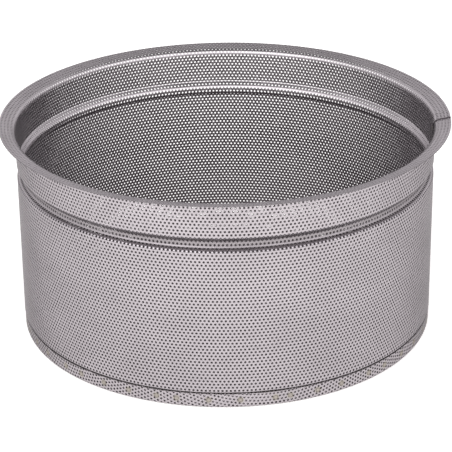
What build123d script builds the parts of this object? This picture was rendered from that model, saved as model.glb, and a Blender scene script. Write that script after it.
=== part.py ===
from build123d import *

import os
from math import cos, degrees, radians, tan

# A stainless cheese mold. Its wall is one rolled sheet, closed by a spot-welded lap seam, with a flared
# rim, an inward bead and a narrowed neck at the bottom. The neck stands inside a shallow pan, which is
# the mold's floor, and spot welds join the two. Both sheets are solid here: the real ones are
# perforated all over.
#
# Millimetres. The origin is the middle of the floor's underside, and +Z points up out of the mouth.
# Azimuths are degrees about +Z, counted from +X towards +Y.

os.makedirs("parts", exist_ok=True)

# Driving dimensions
sheet = 0.8
wall_radius = 160.0
height = 165.0
rim_radius = 172.0
rim_rise = 12.8

bead_top = 135.0
bead_crest_top = 131.3
bead_crest_bottom = 126.2
bead_bottom = 124.8
bead_depth = 4.4

neck_radius = 158.8
neck_bottom = 3.0
shoulder_bottom = 12.0
shoulder_top = 13.1

pan_clearance = 0.1
pan_height = 11.7

# Bend radii, all measured on a sheet's outer face
neck_bend = 0.8
shoulder_bend = 0.9
bead_bottom_bend = 2.4
bead_crest_bend = 3.0
bead_top_bend = 2.0
rim_bend = 4.0
pan_bend = 2.5

# Lap seam: the sheet's inner end lies over its outer end, and a joggle steps it across
lap_edge_azimuth = -3.0
lap_width = 10.0
lap_clearance = 0.05
joggle_gap = 0.4
joggle_width = 2.8

# Spot welds
nugget_radius = 1.6
base_weld_count = 48
base_weld_height = 6.6
base_weld_start = 2.75
base_weld_wander = [0.5, 2.25, -1.25, -1.0, -1.25, 0.6, -0.6, 0.0, 0.25, 0.75, -1.25, -0.25]
seam_weld_heights = [20, 34, 48, 62, 76, 90, 104, 118, 142, 154]

# Worked out from the dimensions above
pan_radius = neck_radius + pan_clearance + sheet
layer_step = sheet + lap_clearance
rim_edge_height = height - sheet * cos(radians(rim_rise))
rim_corner_height = rim_edge_height - (rim_radius - wall_radius) * tan(radians(rim_rise))
outer_end_azimuth = lap_edge_azimuth + degrees(lap_width / wall_radius)
joggle_start = outer_end_azimuth + degrees(joggle_gap / wall_radius)
joggle_end = joggle_start + degrees(joggle_width / wall_radius)
lap_middle_azimuth = (lap_edge_azimuth + outer_end_azimuth) / 2

# The wall's outer outline, from the neck up to the rim's edge, with the bend at each inner corner
wall_outline = [
    (neck_radius, neck_bottom),
    (neck_radius, shoulder_bottom),
    (wall_radius, shoulder_top),
    (wall_radius, bead_bottom),
    (wall_radius - bead_depth, bead_crest_bottom),
    (wall_radius - bead_depth, bead_crest_top),
    (wall_radius, bead_top),
    (wall_radius, rim_corner_height),
    (rim_radius, rim_edge_height),
]
wall_bends = [
    neck_bend,
    shoulder_bend,
    bead_bottom_bend,
    bead_crest_bend,
    bead_crest_bend,
    bead_top_bend,
    rim_bend,
]


def radial_plane(azimuth):
    """The upright half-plane at this azimuth, where x is the radius and y is the height."""
    outward = Vector(1, 0, 0).rotate(Axis.Z, azimuth)
    return Plane(origin=(0, 0, 0), x_dir=outward, z_dir=outward.cross(Vector(0, 0, 1)))


def weld_plane(azimuth, radius, weld_height):
    """A plane that faces straight out from the axis, for one weld."""
    outward = Vector(1, 0, 0).rotate(Axis.Z, azimuth)
    return Plane(origin=outward * radius + Vector(0, 0, weld_height), z_dir=outward)


def wall_section(azimuth, inset, thickness):
    """The wall cut by a radial plane, its outer face set in from the wall's outline."""
    with BuildSketch(radial_plane(azimuth)) as section:
        with BuildLine():
            FilletPolyline(*wall_outline, radius=wall_bends)
            offset(amount=inset + thickness, side=Side.LEFT)
        make_face()
        if inset > 0:
            with BuildLine():
                FilletPolyline(*wall_outline, radius=wall_bends)
                offset(amount=inset, side=Side.LEFT)
            make_face(mode=Mode.SUBTRACT)
    return section.sketch.faces()


# Spot weld places. The welder works by hand, so the base welds wander about their even spacing.
base_weld_depth = 2 * sheet + pan_clearance
base_weld_planes = []
for index in range(base_weld_count):
    even_azimuth = base_weld_start + index * 360 / base_weld_count
    azimuth = even_azimuth + base_weld_wander[index % len(base_weld_wander)]
    base_weld_planes.append(weld_plane(azimuth, neck_radius - sheet, base_weld_height))

seam_weld_depth = sheet + layer_step
seam_weld_planes = []
for weld_height in seam_weld_heights:
    seam_weld_planes.append(weld_plane(lap_middle_azimuth, wall_radius - seam_weld_depth, weld_height))


def spot_welds(planes, depth, mode):
    """Round nuggets on these planes, as metal or as the holes that the metal fills."""
    with Locations(*planes):
        Cylinder(nugget_radius, depth, align=(Align.CENTER, Align.CENTER, Align.MIN), mode=mode)


# Side wall: the full ring, then the joggle as one block through both layers, then the lap's inner end
with BuildPart() as side_wall:
    add(wall_section(joggle_end, 0, sheet))
    revolve(axis=Axis.Z, revolution_arc=360 + outer_end_azimuth - joggle_end)
    add(wall_section(joggle_start, 0, layer_step + sheet))
    revolve(axis=Axis.Z, revolution_arc=joggle_end - joggle_start)
    add(wall_section(lap_edge_azimuth, layer_step, sheet))
    revolve(axis=Axis.Z, revolution_arc=joggle_start - lap_edge_azimuth)
    spot_welds(base_weld_planes, base_weld_depth, Mode.SUBTRACT)
    spot_welds(seam_weld_planes, seam_weld_depth, Mode.SUBTRACT)

# Base pan: the floor and its upturned edge
with BuildPart() as base_pan:
    with BuildSketch(Plane.XZ):
        with BuildLine():
            FilletPolyline((0, 0), (pan_radius, 0), (pan_radius, pan_height), radius=pan_bend)
            offset(amount=sheet, side=Side.LEFT)
        make_face()
    revolve(axis=Axis.Z)
    spot_welds(base_weld_planes, base_weld_depth, Mode.SUBTRACT)

with BuildPart() as base_spot_welds:
    spot_welds(base_weld_planes, base_weld_depth, Mode.ADD)

with BuildPart() as seam_spot_welds:
    spot_welds(seam_weld_planes, seam_weld_depth, Mode.ADD)

pieces = {
    "side_wall": side_wall,
    "base_pan": base_pan,
    "base_spot_welds": base_spot_welds,
    "seam_spot_welds": seam_spot_welds,
}
for name, piece in pieces.items():
    piece.part.label = name
    export_step(piece.part, f"parts/{name}.step")
    print(name, round(piece.part.volume / 1000, 2), "cm3", len(piece.part.solids()), "solids")
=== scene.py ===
from math import ceil, cos, hypot, pi, radians, sin, sqrt, tan

import bpy
import numpy as np
from mathutils import Matrix, Vector


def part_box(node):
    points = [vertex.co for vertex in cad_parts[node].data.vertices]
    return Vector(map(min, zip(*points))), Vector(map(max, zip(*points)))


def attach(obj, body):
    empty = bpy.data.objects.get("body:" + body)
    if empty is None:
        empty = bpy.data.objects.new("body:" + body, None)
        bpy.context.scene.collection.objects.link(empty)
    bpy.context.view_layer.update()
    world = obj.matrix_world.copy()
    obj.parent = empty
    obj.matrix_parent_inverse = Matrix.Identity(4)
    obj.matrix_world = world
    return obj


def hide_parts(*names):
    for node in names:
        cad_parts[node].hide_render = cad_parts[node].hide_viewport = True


# The cheese mold's looks. The CAD model has plain sheets, and here both are made again as perforated
# ones: a flat pattern of holes is cut to the sheet's outline, sliced finely where the sheet bends, and
# then rolled and formed as the real sheet is. Shape sizes below are in millimetres, with the CAD
# model's axes and origin; form_sheet() turns them into metres.

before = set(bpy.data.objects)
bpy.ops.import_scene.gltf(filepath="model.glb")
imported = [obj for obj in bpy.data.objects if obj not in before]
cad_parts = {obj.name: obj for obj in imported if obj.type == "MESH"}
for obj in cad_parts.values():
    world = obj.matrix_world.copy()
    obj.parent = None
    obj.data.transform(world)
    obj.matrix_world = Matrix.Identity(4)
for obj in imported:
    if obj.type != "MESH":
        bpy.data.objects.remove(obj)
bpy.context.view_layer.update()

# ---------------------------------------------------------------- sizes of the mold, in millimetres
MM = 0.001
SHEET = 0.8
WALL_RADIUS = 160.0
NECK_RADIUS = 158.8
NECK_BOTTOM = 3.0
SHOULDER_BOTTOM = 12.0
SHOULDER_TOP = 13.1
BEAD_TOP = 135.0
BEAD_CREST_TOP = 131.3
BEAD_CREST_BOTTOM = 126.2
BEAD_BOTTOM = 124.8
BEAD_DEPTH = 4.4
RIM_RISE = radians(12.8)
RIM_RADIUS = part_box("side_wall")[1].x / MM
HEIGHT = 165.0
PAN_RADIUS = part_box("base_pan")[1].x / MM
PAN_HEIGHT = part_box("base_pan")[1].z / MM
# Bend radii on the sheets' outer faces: the wall's from the neck up to the rim, and the pan's.
WALL_BENDS = [0.8, 0.9, 2.4, 3.0, 3.0, 2.0, 4.0]
PAN_BEND = 2.5

# The lap seam. The sheet's inner end starts at the lap's edge, and a joggle steps it out past the lap.
LAP_EDGE = radians(-3.0)
LAP_WIDTH = 10.0
LAYER_STEP = 0.85
JOGGLE_GAP = 0.4
JOGGLE_WIDTH = 2.8
LAP_ANGLE = LAP_WIDTH / WALL_RADIUS
JOGGLE_START = LAP_EDGE + LAP_ANGLE + JOGGLE_GAP / WALL_RADIUS
JOGGLE_END = JOGGLE_START + JOGGLE_WIDTH / WALL_RADIUS

BASE_WELD_START = 2.75
BASE_WELD_COUNT = 48
BASE_WELD_WANDER = [0.5, 2.25, -1.25, -1.0, -1.25, 0.6, -0.6, 0.0, 0.25, 0.75, -1.25, -0.25]
BASE_WELD_HEIGHT = 6.6
SEAM_WELD_HEIGHTS = [20, 34, 48, 62, 76, 90, 104, 118, 142, 154]

# ---------------------------------------------------------------- the perforation
COLUMNS_AROUND = 334
PITCH = 2 * pi * WALL_RADIUS / COLUMNS_AROUND
ROW_SPACING = 2.557
HOLE_RADIUS = 0.29 * PITCH
# How much narrower a hole is at the sheet's inner face, as a share of its radius.
HOLE_TAPER = 0.13
HOLE_SIDES = 12
# The rows of holes that the bead's curve takes up.
BEAD_ROWS = 5
# The wall and the pan are each made in several meshes, to keep every one to a moderate size.
WALL_SECTORS = 10
PAN_SECTORS = 4
# Bends are sliced each time they have turned by this much.
SLICE_ANGLE = radians(16)


class Outline:
    """A path of straight runs joined by tangent arcs, in the plane of radius and height."""

    def __init__(self, corners, bends):
        points = [np.array(c, float) for c in corners]
        self.runs = []
        self.length = 0.0
        start = points[0]
        for before, corner, after, bend in zip(points, points[1:], points[2:], bends):
            heading_in = np.arctan2(*(corner - before)[::-1])
            heading_out = np.arctan2(*(after - corner)[::-1])
            turn = heading_out - heading_in
            trim = bend * tan(abs(turn) / 2)
            arc_start = corner - trim * np.array([cos(heading_in), sin(heading_in)])
            self.add_run(start, heading_in, hypot(*(arc_start - start)), 0.0)
            self.add_run(arc_start, heading_in, bend * abs(turn), turn / (bend * abs(turn)))
            start = corner + trim * np.array([cos(heading_out), sin(heading_out)])
        heading = np.arctan2(*(points[-1] - start)[::-1])
        self.add_run(start, heading, hypot(*(points[-1] - start)), 0.0)

    def add_run(self, start, heading, length, curvature):
        self.runs.append((self.length, start, heading, curvature))
        self.length += length

    def at(self, along):
        """The points at these distances along the path, and the unit vectors to the path's left."""
        starts = np.array([run[0] for run in self.runs])
        pick = np.clip(np.searchsorted(starts, along, side="right") - 1, 0, len(starts) - 1)
        origin = np.array([run[1] for run in self.runs])[pick]
        heading = np.array([run[2] for run in self.runs])[pick]
        curvature = np.array([run[3] for run in self.runs])[pick]
        step = along - starts[pick]
        middle = heading + curvature * step / 2
        half_turn = curvature * step / 2
        chord = step * np.sinc(half_turn / pi)
        points = origin + chord[..., None] * np.stack([np.cos(middle), np.sin(middle)], -1)
        final = heading + curvature * step
        left = np.stack([-np.sin(final), np.cos(final)], -1)
        return points, left

    def slices(self):
        """Distances along the path where a bend starts, ends or has turned by another slice angle."""
        places = []
        ends = [run[0] for run in self.runs[1:]] + [self.length]
        for (begin, _, _, curvature), end in zip(self.runs, ends):
            if curvature:
                count = ceil(abs(curvature) * (end - begin) / SLICE_ANGLE)
                places.extend(np.linspace(begin, end, count + 1))
        return places


# ---------------------------------------------------------------- spot welds, and painted shade and darkening
TINT_REACH = 2.1
# The groove's outer face is darker the deeper it is sunk: by this much at most, from the first depth
# below to the second.
GROOVE_DARKENING = 0.3
GROOVE_START = 0.8
GROOVE_FULL = 3.0
# Painted shade on the pan's floor inside the mold, up to this height.
FLOOR_SHADE = 0.6
FLOOR_SHADE_HEIGHT = 2.0
WELD_SIDES = 20
# Each ring of a weld mark's dished end: its radius, how far it stands above the sheet, and its tint.
WELD_DISH = [
    (0.0, 0.04, 0.45),
    (0.8, 0.05, 0.5),
    (1.15, 0.08, 0.65),
    (1.45, 0.14, 0.9),
    (1.75, 0.12, 1.0),
    (1.95, -0.02, 1.0),
    (1.7, -0.3, 1.0),
]


def weld_places(azimuths, heights, radius):
    """The middle of each weld's outer face, and the direction that it faces."""
    azimuths, heights = np.broadcast_arrays(azimuths, heights)
    level = np.zeros(len(azimuths))
    outward = np.stack([np.cos(azimuths), np.sin(azimuths), level], -1)
    return radius * outward + np.stack([level, level, heights], -1), outward


base_index = np.arange(BASE_WELD_COUNT)
wander = np.array(BASE_WELD_WANDER)[base_index % len(BASE_WELD_WANDER)]
base_azimuths = np.radians(BASE_WELD_START + base_index * 360 / BASE_WELD_COUNT + wander)
base_welds = weld_places(base_azimuths, BASE_WELD_HEIGHT, PAN_RADIUS)
seam_welds = weld_places(LAP_EDGE + LAP_ANGLE / 2, np.array(SEAM_WELD_HEIGHTS), WALL_RADIUS)
weld_centres = np.concatenate([base_welds[0], seam_welds[0]])


def weld_tint(vertices):
    """How strongly each point is tinted by the nearest weld's heat, from 0 to 1."""
    tint = np.zeros(len(vertices))
    for centre in weld_centres:
        distance_squared = ((vertices - centre) ** 2).sum(-1)
        tint = np.maximum(tint, np.exp(-distance_squared / TINT_REACH**2))
    return tint


def painted_darkness(vertices, outer_face):
    """How dark each point is painted: painted shadow in the joint, painted shade on the pan's inner
    floor, and a darker groove.
    """
    height = vertices[:, 2]
    # Painted shadow in the gap between the pan's top and the wall's shoulder.
    joint = [PAN_HEIGHT - 0.1, PAN_HEIGHT, SHOULDER_TOP - 0.4, SHOULDER_TOP]
    joint_shadow = np.interp(height, joint, [0, 1, 1, 0])
    sunk = WALL_RADIUS - np.hypot(vertices[:, 0], vertices[:, 1])
    near_bead = (height > BEAD_BOTTOM - 1) & (height < BEAD_TOP + 1)
    # Darker the deeper the outer face is sunk in the groove.
    groove = np.interp(sunk, [GROOVE_START, GROOVE_FULL], [0, GROOVE_DARKENING])
    in_groove = groove * near_bead * outer_face
    # Painted shade on the inner face of the pan's floor, inside the mold.
    floor_shade = FLOOR_SHADE * (height < FLOOR_SHADE_HEIGHT) * (1 - outer_face)
    return np.maximum.reduce([joint_shadow, in_groove, floor_shade])


def weld_marks(name, places, depth):
    """Nuggets whose two ends are dished marks, as one mesh. The depth is between the two sheet faces."""
    profile = WELD_DISH + [(radius, -depth - rise, tint) for radius, rise, tint in reversed(WELD_DISH)]
    around = np.arange(WELD_SIDES) * 2 * pi / WELD_SIDES
    rings = [
        np.stack([np.full(WELD_SIDES, rise), radius * np.cos(around), radius * np.sin(around)], -1)
        for radius, rise, _ in profile[1:-1]
    ]
    poles = np.array([(profile[0][1], 0, 0), (profile[-1][1], 0, 0)])
    local = np.concatenate([poles, *rings])
    tints = [tint for _, _, tint in profile]
    local_tint = np.concatenate([[tints[0], tints[-1]], np.repeat(tints[1:-1], WELD_SIDES)])
    local_faces = []
    for k in range(WELD_SIDES):
        after = (k + 1) % WELD_SIDES
        local_faces.append((0, 2 + k, 2 + after))
        for ring in range(len(rings) - 1):
            near, far = 2 + ring * WELD_SIDES, 2 + (ring + 1) * WELD_SIDES
            local_faces.append((near + k, far + k, far + after, near + after))
        last = 2 + (len(rings) - 1) * WELD_SIDES
        local_faces.append((1, last + after, last + k))
    points, faces = [], []
    for centre, outward in zip(*places):
        sideways = np.cross((0, 0, 1), outward)
        faces += [tuple(len(points) + corner for corner in face) for face in local_faces]
        points += list(centre + local @ np.stack([outward, sideways, (0, 0, 1)]))
    mesh = bpy.data.meshes.new(name)
    mesh.from_pydata([tuple(point * MM) for point in points], [], faces)
    mesh.shade_smooth()
    put_attribute(mesh, "weld_tint", np.tile(local_tint, len(places[0])))
    put_attribute(mesh, "painted_darkening", np.zeros(len(points)))
    piece = bpy.data.objects.new(name, mesh)
    bpy.context.scene.collection.objects.link(piece)
    return piece


# ---------------------------------------------------------------- flat patterns
def perforated_cells(centres):
    """Flat triangles that fill the hexagon round each centre, apart from its round hole."""
    around = np.arange(HOLE_SIDES) * 2 * pi / HOLE_SIDES + pi / 6
    ring = HOLE_RADIUS * np.stack([np.cos(around), np.sin(around)], -1)
    corners = PITCH / sqrt(3) * np.stack([np.cos(around[::2]), np.sin(around[::2])], -1)
    template = np.concatenate([ring, corners * (1.0, ROW_SPACING / (PITCH * sqrt(3) / 2))])
    faces = []
    for k in range(6):
        first, middle, last = 2 * k, 2 * k + 1, (2 * k + 2) % HOLE_SIDES
        corner, next_corner = HOLE_SIDES + k, HOLE_SIDES + (k + 1) % 6
        faces += [(corner, middle, first), (corner, next_corner, middle), (next_corner, last, middle)]
    count = len(template)
    points = (centres[:, None, :] + template[None]).reshape(-1, 2)
    triangles = (np.arange(len(centres))[:, None, None] * count + np.array(faces)[None]).reshape(-1, 3)
    return merged(points, triangles)


def tapered(points, depth):
    """Draws each hole's edge in towards its middle with depth: punched holes aren't quite straight."""
    row = np.round(points[:, 1] / ROW_SPACING)
    shift = 0.5 * (row % 2)
    column = np.round(points[:, 0] / PITCH - shift)
    middle = np.stack([(column + shift) * PITCH, row * ROW_SPACING], -1)
    away = points - middle
    at_hole = np.hypot(away[:, 0], away[:, 1]) < HOLE_RADIUS + 1e-3
    share = 1 - at_hole * HOLE_TAPER * depth / SHEET
    return middle + away * share[:, None]


def merged(points, triangles):
    """The same pattern with points that coincide made one."""
    keys = np.round(points * 1e4).astype(np.int64)
    _, first, index = np.unique(keys, axis=0, return_index=True, return_inverse=True)
    return points[first], index.reshape(-1)[triangles]


def sliced(points, triangles, distance):
    """The pattern with each triangle cut in two where the distance function crosses zero."""
    away = distance(points)
    away[np.abs(away) < 1e-3] = 0.0
    side = np.sign(away).astype(int)[triangles]
    crossing = (side.min(1) < 0) & (side.max(1) > 0)
    kept, cut, cut_side = triangles[~crossing], triangles[crossing], side[crossing]
    if not len(cut):
        return points, triangles
    # Turn each cut triangle so that its first corner is the one on the line or the one that is alone.
    on_line = (cut_side == 0).any(1)
    alone = np.where(cut_side.sum(1) > 0, -1, 1)
    first = np.where(on_line, (cut_side == 0).argmax(1), (cut_side == alone[:, None]).argmax(1))
    order = (first[:, None] + np.arange(3)) % 3
    cut = np.take_along_axis(cut, order, 1)
    halves, wholes = cut[on_line], cut[~on_line]
    edges = np.concatenate([halves[:, [1, 2]], wholes[:, [0, 1]], wholes[:, [0, 2]]])
    unique_edges, which = np.unique(np.sort(edges, 1), axis=0, return_inverse=True)
    which = which.reshape(-1) + len(points)
    a, b = unique_edges[:, 0], unique_edges[:, 1]
    share = (away[a] / (away[a] - away[b]))[:, None]
    points = np.concatenate([points, points[a] + share * (points[b] - points[a])])
    p = which[: len(halves)]
    q = which[len(halves) : len(halves) + len(wholes)]
    r = which[len(halves) + len(wholes) :]
    pieces = [
        kept,
        np.stack([halves[:, 0], halves[:, 1], p], 1),
        np.stack([halves[:, 0], p, halves[:, 2]], 1),
        np.stack([wholes[:, 0], q, r], 1),
        np.stack([q, wholes[:, 1], wholes[:, 2]], 1),
        np.stack([q, wholes[:, 2], r], 1),
    ]
    return points, np.concatenate(pieces)


def trimmed(points, triangles, distance):
    """The part of the pattern where the distance function is positive."""
    points, triangles = sliced(points, triangles, distance)
    away = distance(points)[triangles]
    inside = away[np.arange(len(away)), np.abs(away).argmax(1)] > 0
    return points, triangles[inside]


def put_attribute(mesh, name, values):
    """Stores one number for each point of the mesh, for its material to read."""
    attribute = mesh.attributes.new(name, "FLOAT", "POINT")
    attribute.data.foreach_set("value", values.astype(np.float32))


def form_sheet(name, points, triangles, formed):
    """Gives a flat pattern its thickness and its formed shape, as a closed mesh in metres.

    The mesh's first material is for the sheet's two faces, and its second for the punched and cut edges.
    """
    used, triangles = np.unique(triangles, return_inverse=True)
    points, triangles = points[used], triangles.reshape(-1, 3)
    count = len(points)
    edges = np.concatenate([triangles[:, [0, 1]], triangles[:, [1, 2]], triangles[:, [2, 0]]])
    key = edges[:, 0] * count + edges[:, 1]
    back = edges[:, 1] * count + edges[:, 0]
    rim = edges[~np.isin(key, back)]
    a, b = rim[:, 0], rim[:, 1]
    faces = np.concatenate([
        triangles,
        triangles[:, ::-1] + count,
        np.stack([b, a, a + count], 1),
        np.stack([b, a + count, b + count], 1),
    ])
    vertices = np.concatenate([formed(points, 0.0), formed(points, SHEET)])
    mesh = bpy.data.meshes.new(name)
    mesh.vertices.add(len(vertices))
    mesh.vertices.foreach_set("co", (vertices * MM).astype(np.float32).ravel())
    mesh.loops.add(faces.size)
    mesh.loops.foreach_set("vertex_index", faces.astype(np.int32).ravel())
    mesh.polygons.add(len(faces))
    mesh.polygons.foreach_set("loop_start", np.arange(0, faces.size, 3, dtype=np.int32))
    is_edge = np.arange(len(faces)) >= 2 * len(triangles)
    mesh.polygons.foreach_set("material_index", is_edge.astype(np.int32))
    mesh.update(calc_edges=True)
    put_attribute(mesh, "weld_tint", weld_tint(vertices))
    outer_face = np.repeat([1, 0], count)
    put_attribute(mesh, "painted_darkening", painted_darkness(vertices, outer_face))
    mesh.shade_smooth()
    mesh.set_sharp_from_angle(angle=radians(35))
    piece = bpy.data.objects.new(name, mesh)
    bpy.context.scene.collection.objects.link(piece)
    return piece


# ---------------------------------------------------------------- the side wall
rim_edge_height = HEIGHT - SHEET * cos(RIM_RISE)
wall_outline = Outline(
    [
        (NECK_RADIUS, NECK_BOTTOM),
        (NECK_RADIUS, SHOULDER_BOTTOM),
        (WALL_RADIUS, SHOULDER_TOP),
        (WALL_RADIUS, BEAD_BOTTOM),
        (WALL_RADIUS - BEAD_DEPTH, BEAD_CREST_BOTTOM),
        (WALL_RADIUS - BEAD_DEPTH, BEAD_CREST_TOP),
        (WALL_RADIUS, BEAD_TOP),
        (WALL_RADIUS, rim_edge_height - (RIM_RADIUS - WALL_RADIUS) * tan(RIM_RISE)),
        (RIM_RADIUS, rim_edge_height),
    ],
    WALL_BENDS,
)


def height_along(outline, height):
    """How far along the path it first reaches this height."""
    along = np.linspace(0, outline.length, 20001)
    points, _ = outline.at(along)
    return along[np.argmax(points[:, 1] >= height)]


# Forming the bead stretches the sheet, so its rows are spread over the bead's own length. The flat
# pattern's y is 0 at the bead's top. Below the bead and above it, y keeps pace with the outline.
BEAD_LOWER_BEND = 0.5
FAR = 500.0
bead_top_along = height_along(wall_outline, BEAD_TOP)
bead_bottom_along = height_along(wall_outline, BEAD_BOTTOM - BEAD_LOWER_BEND)
bead_flat = BEAD_ROWS * ROW_SPACING
flat_knots = np.array([-bead_flat - FAR, -bead_flat, 0.0, FAR])
along_knots = np.array([
    bead_bottom_along - FAR,
    bead_bottom_along,
    bead_top_along,
    bead_top_along + FAR,
])


def wall_formed(points, depth):
    """Rolls the wall's flat pattern up: x goes round from the lap's inner edge, and y goes up."""
    points = tapered(points, depth)
    angle = LAP_EDGE + points[:, 0] / WALL_RADIUS
    along = np.interp(points[:, 1], flat_knots, along_knots).clip(0, wall_outline.length)
    place, inward = wall_outline.at(along)
    ramp = np.clip((JOGGLE_END - angle) / (JOGGLE_END - JOGGLE_START), 0, 1)
    inset = LAYER_STEP * ramp * ramp * (3 - 2 * ramp) + depth
    radius = place[:, 0] + inward[:, 0] * inset
    height = place[:, 1] + inward[:, 1] * inset
    return np.stack([radius * np.cos(angle), radius * np.sin(angle), height], -1)


def wall_sector(number):
    """One sector of the perforated wall."""
    flat_length = (2 * pi + LAP_ANGLE) * WALL_RADIUS
    flat_bottom = np.interp(0.0, along_knots, flat_knots)
    flat_top = np.interp(wall_outline.length, along_knots, flat_knots)
    columns = np.arange(-1, int(flat_length / PITCH) + 2)
    rows = np.arange(int(flat_bottom / ROW_SPACING) - 1, int(flat_top / ROW_SPACING) + 2)
    share = (columns + 1) * WALL_SECTORS // len(columns)
    column, row = np.meshgrid(columns[share == number], rows)
    centres = np.stack([(column + 0.5 * (row % 2)) * PITCH, row * ROW_SPACING], -1).reshape(-1, 2)
    points, triangles = perforated_cells(centres)
    points, triangles = trimmed(points, triangles, lambda p: p[:, 0])
    points, triangles = trimmed(points, triangles, lambda p: flat_length - p[:, 0])
    points, triangles = trimmed(points, triangles, lambda p: p[:, 1] - flat_bottom)
    points, triangles = trimmed(points, triangles, lambda p: flat_top - p[:, 1])
    for along in wall_outline.slices():
        level = np.interp(along, along_knots, flat_knots)
        points, triangles = sliced(points, triangles, lambda p: p[:, 1] - level)
    return form_sheet(f"side_wall_sector_{number + 1}", points, triangles, wall_formed)


# ---------------------------------------------------------------- the base pan
PAN_LATTICE_ANGLE = radians(11)
PAN_TURN = np.array([
    [cos(PAN_LATTICE_ANGLE), sin(PAN_LATTICE_ANGLE)],
    [-sin(PAN_LATTICE_ANGLE), cos(PAN_LATTICE_ANGLE)],
])
pan_outline = Outline([(0, 0), (PAN_RADIUS, 0), (PAN_RADIUS, PAN_HEIGHT)], [PAN_BEND])


def pan_formed(points, depth):
    """Turns up the edge of the base's flat disc: distance from the middle becomes distance along it."""
    points = tapered(points, depth) @ PAN_TURN
    flat_radius = np.hypot(points[:, 0], points[:, 1])
    place, inward = pan_outline.at(flat_radius.clip(0, pan_outline.length))
    scale = (place[:, 0] + inward[:, 0] * depth) / np.maximum(flat_radius, 1e-9)
    height = place[:, 1] + inward[:, 1] * depth
    return np.stack([points[:, 0] * scale, points[:, 1] * scale, height], -1)


def pan_sector(number):
    """One quarter of the perforated base pan."""
    reach = int(pan_outline.length / ROW_SPACING) + 3
    column, row = np.meshgrid(np.arange(-reach, reach + 1), np.arange(-reach, reach + 1))
    centres = np.stack([(column + 0.5 * (row % 2)) * PITCH, row * ROW_SPACING], -1).reshape(-1, 2)
    near = np.hypot(centres[:, 0], centres[:, 1]) < pan_outline.length + PITCH
    quarter = ((np.arctan2(centres[:, 1], centres[:, 0]) + pi) / (2 * pi / PAN_SECTORS)).astype(int)
    points, triangles = perforated_cells(centres[near & (quarter % PAN_SECTORS == number)])
    edge = pan_outline.length
    points, triangles = trimmed(points, triangles, lambda p: edge - np.hypot(p[:, 0], p[:, 1]))
    for along in pan_outline.slices():
        points, triangles = sliced(points, triangles, lambda p: np.hypot(p[:, 0], p[:, 1]) - along)
    # The flat disc's underside is its outer face, so it is seen from below.
    return form_sheet(f"base_pan_quarter_{number + 1}", points, triangles[:, ::-1], pan_formed)


# ---------------------------------------------------------------- materials
EDGE_TINT = (0.5, 0.5, 0.5)
STEEL_DARK = (0.415, 0.385, 0.405)
STEEL_LIGHT = (0.48, 0.447, 0.47)
STEEL_GRAIN = (0.375, 0.348, 0.367)
STRAW = (0.41, 0.382, 0.35)
BROWN = (0.31, 0.283, 0.25)
BURNT = (0.25, 0.228, 0.205)
# The near-black colour that the painted shade in the joint and on the pan's floor, and the groove's
# darkening, go towards.
PAINTED_DARK = (0.06, 0.05, 0.045)
# The punched edges' two tones are darker than the sheet's: partly the torn edge's own duller colour,
# partly painted shade in the holes.
EDGE_DARK = (0.14, 0.13, 0.137)
EDGE_LIGHT = (0.27, 0.25, 0.265)


def noise(tree, cell_size, detail):
    """Noise in the object's own space, with cells of this size in metres along X, Y and Z."""
    place = tree.nodes.new("ShaderNodeTexCoord")
    stretch = tree.nodes.new("ShaderNodeMapping")
    stretch.inputs["Scale"].default_value = [1 / size for size in cell_size]
    pattern = tree.nodes.new("ShaderNodeTexNoise")
    pattern.inputs["Scale"].default_value = 1.0
    pattern.inputs["Detail"].default_value = detail
    tree.links.new(place.outputs["Object"], stretch.inputs["Vector"])
    tree.links.new(stretch.outputs["Vector"], pattern.inputs["Vector"])
    return pattern.outputs["Fac"]


def ranged(tree, value, start, end, low, high):
    """The value stretched so that start gives low and end gives high, and held at those."""
    spread = tree.nodes.new("ShaderNodeMapRange")
    for key, number in (("From Min", start), ("From Max", end), ("To Min", low), ("To Max", high)):
        spread.inputs[key].default_value = number
    tree.links.new(value, spread.inputs["Value"])
    return spread.outputs["Result"]


def added(tree, first, second):
    """The sum of two values."""
    total = tree.nodes.new("ShaderNodeMath")
    tree.links.new(first, total.inputs[0])
    tree.links.new(second, total.inputs[1])
    return total.outputs[0]


def blended(tree, share, first, second):
    """Goes from the first colour to the second with the share. Each colour is a tuple or a socket."""
    mix = tree.nodes.new("ShaderNodeMix")
    mix.data_type = "RGBA"
    tree.links.new(share, mix.inputs["Factor"])
    # Sockets 6 and 7 are the two colours, which share their names with the node's other inputs.
    for colour, socket in ((first, mix.inputs[6]), (second, mix.inputs[7])):
        if isinstance(colour, tuple):
            socket.default_value = (*colour, 1)
        else:
            tree.links.new(colour, socket)
    return mix.outputs[2]


def ramped(tree, value, stops):
    """The colour at this place between the stops: a position and a colour each, from 0 to 1."""
    ramp = tree.nodes.new("ShaderNodeValToRGB")
    elements = ramp.color_ramp.elements
    elements[0].color = (*stops[0][1], 1)
    elements[1].color = (*stops[-1][1], 1)
    for position, colour in stops[1:-1]:
        elements.new(position).color = (*colour, 1)
    tree.links.new(value, ramp.inputs["Fac"])
    return ramp.outputs["Color"]


def stored(tree, name):
    """A number that the mesh stores for each of its points."""
    attribute = tree.nodes.new("ShaderNodeAttribute")
    attribute.attribute_name = name
    return attribute.outputs["Fac"]


def bumps(tree, height, distance, under=None):
    """A bump from this height pattern, whose full depth is the distance in metres, over another bump."""
    bump = tree.nodes.new("ShaderNodeBump")
    bump.inputs["Distance"].default_value = distance
    tree.links.new(height, bump.inputs["Height"])
    if under is not None:
        tree.links.new(under, bump.inputs["Normal"])
    return bump.outputs["Normal"]


def new_metal(name):
    """A bare metal material, and its node tree and shader to add to."""
    material = bpy.data.materials.new(name)
    material.use_nodes = True
    shader = material.node_tree.nodes["Principled BSDF"]
    shader.inputs["Metallic"].default_value = 1.0
    shader.inputs["Specular Tint"].default_value = (*EDGE_TINT, 1)
    return material, material.node_tree, shader


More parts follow.
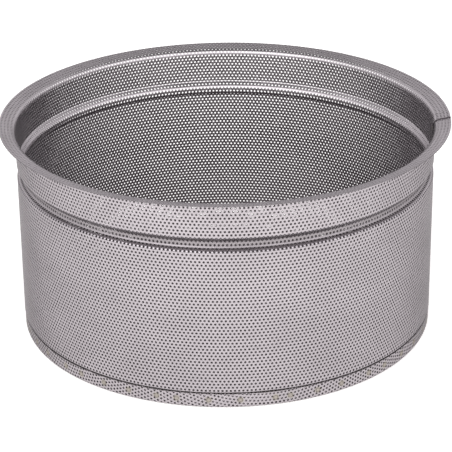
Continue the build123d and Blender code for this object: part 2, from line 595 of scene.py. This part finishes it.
def satin_sheet(name, grain_cell):
    """Cold-rolled stainless sheet: a dull satin with grain, faint clouds, rubbed marks, weld heat tint,
    painted shade and a darker groove.
    """
    material, tree, shader = new_metal(name)
    clouds = ranged(tree, noise(tree, (0.045, 0.045, 0.03), 4), 0.3, 0.7, 0, 1)
    rubbing = ranged(tree, noise(tree, (0.012, 0.012, 0.007), 5), 0.5, 0.75, 0, 1)
    grain = noise(tree, grain_cell, 2)
    scratches = ranged(tree, noise(tree, (0.0004, 0.02, 0.01), 2), 0.7, 0.78, 0, 1)

    colour = blended(tree, clouds, STEEL_DARK, STEEL_LIGHT)
    colour = blended(tree, ranged(tree, grain, 0.35, 0.65, 0, 0.35), colour, STEEL_GRAIN)
    tint = stored(tree, "weld_tint")
    burnt = ramped(tree, tint, [(0.0, STRAW), (0.4, STRAW), (0.75, BROWN), (1.0, BURNT)])
    colour = blended(tree, ranged(tree, tint, 0.05, 0.45, 0, 1), colour, burnt)
    # Painted shade in the joint and on the pan's floor, and a darker groove, from each point's stored
    # share.
    painted_darkening = stored(tree, "painted_darkening")
    colour = blended(tree, painted_darkening, colour, PAINTED_DARK)
    tree.links.new(colour, shader.inputs["Base Color"])

    roughness = ranged(tree, clouds, 0, 1, 0.30, 0.36)
    roughness = added(tree, roughness, ranged(tree, rubbing, 0, 1, 0, 0.07))
    roughness = added(tree, roughness, ranged(tree, grain, 0.3, 0.7, -0.04, 0.04))
    roughness = added(tree, roughness, ranged(tree, scratches, 0, 1, 0, -0.06))
    roughness = added(tree, roughness, ranged(tree, tint, 0.1, 0.6, 0, 0.12))
    roughness = added(tree, roughness, ranged(tree, painted_darkening, 0, 1, 0, 0.3))
    tree.links.new(roughness, shader.inputs["Roughness"])

    relief = bumps(tree, noise(tree, (0.03, 0.03, 0.02), 2), 0.0003)
    relief = bumps(tree, grain, 0.000006, relief)
    tree.links.new(bumps(tree, scratches, 0.000004, relief), shader.inputs["Normal"])
    return material


def punched_edge():
    """The inside of a punched hole or a sheared edge: dull and torn, with a dark colour that is partly
    painted shade in the holes.
    """
    material, tree, shader = new_metal("punched_edge")
    tears = noise(tree, (0.0003, 0.0003, 0.0002), 3)
    colour = blended(tree, ranged(tree, tears, 0.35, 0.65, 0, 1), EDGE_DARK, EDGE_LIGHT)
    tree.links.new(colour, shader.inputs["Base Color"])
    tree.links.new(ranged(tree, tears, 0.3, 0.7, 0.5, 0.3), shader.inputs["Roughness"])
    tree.links.new(bumps(tree, tears, 0.00003), shader.inputs["Normal"])
    return material


wall_steel = satin_sheet("wall_steel", (0.03, 0.03, 0.0004))
base_steel = satin_sheet("base_steel", (0.03, 0.0004, 0.0004))
edge_steel = punched_edge()


# ---------------------------------------------------------------- the pieces
def take(piece, node, slot, *materials):
    """Puts a finished piece in the place of its CAD node."""
    for material in materials:
        piece.data.materials.append(material)
    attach(piece, "root")
    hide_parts(node)


for number in range(WALL_SECTORS):
    take(wall_sector(number), "side_wall", "wall_sheet", wall_steel, edge_steel)
for number in range(PAN_SECTORS):
    take(pan_sector(number), "base_pan", "base_sheet", base_steel, edge_steel)
base_marks = weld_marks("base_weld_marks", base_welds, PAN_RADIUS - NECK_RADIUS + SHEET)
take(base_marks, "base_spot_welds", "weld_nuggets", base_steel)
seam_marks = weld_marks("seam_weld_marks", seam_welds, SHEET + LAYER_STEP)
take(seam_marks, "seam_spot_welds", "weld_nuggets", wall_steel)


# ---------------------------------------------------------------- stage, light and camera
# How strongly the floor glows in front of the mold and behind it.
FLOOR_GLOW = (0.75, 0.46)
SKY_TINT = (1.0, 0.985, 0.995)
# Brightness of the sky by the sine of the elevation: a tall softbox in front, a bright sweep behind.
SKY_FRONT = [(0.0, 0.6), (0.25, 0.7), (0.4, 2.0), (0.75, 2.4), (0.87, 0.3), (0.95, 0.1), (1.0, 0.08)]
SKY_BACK = [(0.0, 1.15), (0.2, 1.3), (0.4, 1.3), (0.7, 0.5), (1.0, 0.10)]


def stage():
    """A white floor that glows like a lit sweep: more in front, and not underneath the mold."""
    mesh = bpy.data.meshes.new("floor")
    mesh.from_pydata([(-6, -6, 0), (6, -6, 0), (6, 6, 0), (-6, 6, 0)], [], [(0, 1, 2, 3)])
    floor = bpy.data.objects.new("floor", mesh)
    bpy.context.scene.collection.objects.link(floor)
    material = bpy.data.materials.new("floor_white")
    material.use_nodes = True
    shader = material.node_tree.nodes["Principled BSDF"]
    shader.inputs["Base Color"].default_value = (0.85, 0.85, 0.85, 1)
    shader.inputs["Roughness"].default_value = 0.8
    shader.inputs["Emission Color"].default_value = (1.0, 0.985, 0.955, 1)
    tree = material.node_tree
    place = tree.nodes.new("ShaderNodeTexCoord")
    distance = tree.nodes.new("ShaderNodeVectorMath")
    distance.operation = "LENGTH"
    split = tree.nodes.new("ShaderNodeSeparateXYZ")
    glow = tree.nodes.new("ShaderNodeMath")
    glow.operation = "MULTIPLY"
    tree.links.new(place.outputs["Object"], distance.inputs[0])
    tree.links.new(place.outputs["Object"], split.inputs["Vector"])
    under = PAN_RADIUS * MM
    tree.links.new(ranged(tree, distance.outputs["Value"], under - 0.01, under, 0, 1), glow.inputs[0])
    tree.links.new(ranged(tree, split.outputs["Y"], -0.4, -0.15, *FLOOR_GLOW), glow.inputs[1])
    tree.links.new(glow.outputs[0], shader.inputs["Emission Strength"])
    mesh.materials.append(material)


def area_light(name, position, target, size, power):
    """A round soft light that faces the target."""
    data = bpy.data.lights.new(name, "AREA")
    data.shape = "DISK"
    data.size = size
    data.energy = power
    light = bpy.data.objects.new(name, data)
    bpy.context.scene.collection.objects.link(light)
    light.location = position
    light.rotation_euler = (Vector(target) - Vector(position)).to_track_quat("-Z", "Y").to_euler()


def sky_ramp(tree, height, stops):
    """Sky colour by the sine of the elevation, from stops of a position and a brightness."""
    coloured = [(position, [level * tint for tint in SKY_TINT]) for position, level in stops]
    return ramped(tree, height, coloured)


def studio_world():
    """A white sweep behind the mold, and a darker room behind the camera above a bright horizon."""
    world = bpy.data.worlds.new("world")
    world.use_nodes = True
    tree = world.node_tree
    place = tree.nodes.new("ShaderNodeTexCoord")
    split = tree.nodes.new("ShaderNodeSeparateXYZ")
    tree.links.new(place.outputs["Generated"], split.inputs["Vector"])
    front = sky_ramp(tree, split.outputs["Z"], SKY_FRONT)
    back = sky_ramp(tree, split.outputs["Z"], SKY_BACK)
    sky = blended(tree, ranged(tree, split.outputs["Y"], -0.3, 0.3, 0, 1), front, back)
    tree.links.new(sky, tree.nodes["Background"].inputs["Color"])
    bpy.context.scene.world = world


stage()
studio_world()
area_light("key", (-1.0, -1.3, 1.6), (0, 0, 0.1), 1.4, 6)
bpy.context.scene.view_settings.view_transform = "Standard"

CAMERA_ELEVATION = radians(23.834)
CAMERA_DISTANCE = 1.504
CAMERA_PIVOT_HEIGHT = 0.0864
CAMERA_AIM_HEIGHT = 0.0725
CAMERA_ROLL = radians(0.65)
CAMERA_LENS = 153.5
camera_data = bpy.data.cameras.new("camera")
camera_data.lens = CAMERA_LENS
camera_data.sensor_width = 36.0
camera_data.dof.use_dof = False
camera = bpy.data.objects.new("camera", camera_data)
bpy.context.scene.collection.objects.link(camera)
camera_height = CAMERA_PIVOT_HEIGHT + CAMERA_DISTANCE * sin(CAMERA_ELEVATION)
camera.location = (0, -CAMERA_DISTANCE * cos(CAMERA_ELEVATION), camera_height)
aim = Vector((0, 0, CAMERA_AIM_HEIGHT))
look = (aim - camera.location).to_track_quat("-Z", "Y").to_matrix()
camera.rotation_euler = (look @ Matrix.Rotation(-CAMERA_ROLL, 3, "Z")).to_euler()
bpy.context.scene.camera = camera
